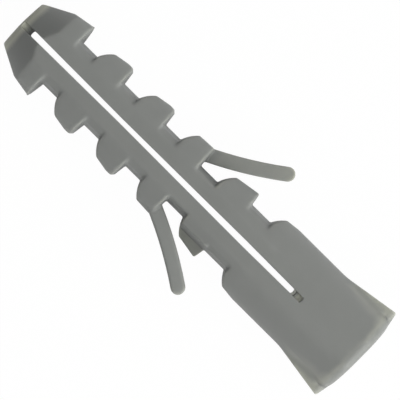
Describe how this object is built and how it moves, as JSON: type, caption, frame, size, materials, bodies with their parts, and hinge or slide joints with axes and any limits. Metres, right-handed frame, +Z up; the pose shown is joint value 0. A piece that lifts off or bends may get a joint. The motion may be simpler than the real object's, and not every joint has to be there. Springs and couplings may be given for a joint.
{
  "type": "wall plug",
  "caption": "Round split wall plug with saw-tooth sides, springy lugs, side fins at the mouth and a screw hole along its axis.",
  "frame": {"origin": "centre of the screw hole in the plane of the mouth", "axes": "+X along the screw hole and out of the mouth, so the tip points to -X; +Z up as the plug lies, along the depth of the slit; the toothed sides and the lugs face +Y and -Y"},
  "size_m": [0.04, 0.0146, 0.0076],
  "materials": {
    "nylon": "grey moulded nylon, matte with a soft sheen"
  },
  "bodies": {
    "root": {"wall_plug": "nylon"}
  },
  "joints": []
}
